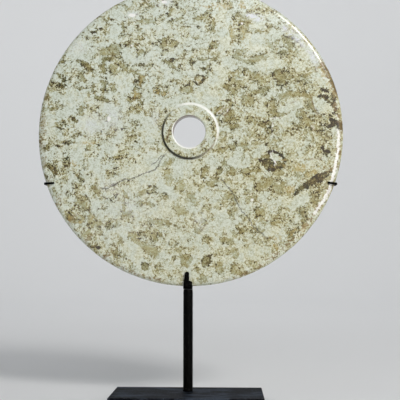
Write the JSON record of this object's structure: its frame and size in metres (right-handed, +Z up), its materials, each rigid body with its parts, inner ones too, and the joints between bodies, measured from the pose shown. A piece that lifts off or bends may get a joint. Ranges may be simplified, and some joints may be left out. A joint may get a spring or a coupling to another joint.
{
  "type": "marble disc on a display stand",
  "caption": "Thin round mottled marble disc with a collared central hole, held upright by a black steel rod stand with hooked side arms.",
  "frame": {"origin": "centre of the foot plate's underside", "axes": "+Z up the rod, -Y the way the disc's face and collar look, +X to the right of someone who faces the disc"},
  "size_m": [0.32, 0.07, 0.437],
  "materials": {
    "marble": "polished, mottled sage cream and olive brown",
    "plate_paint": "worn satin black paint",
    "stand_paint": "satin black paint"
  },
  "bodies": {
    "root": {"marble_disc": "marble", "foot_plate": "plate_paint", "upright_rod": "stand_paint", "cradle_strap": "stand_paint", "cross_arm": "stand_paint"}
  },
  "joints": []
}
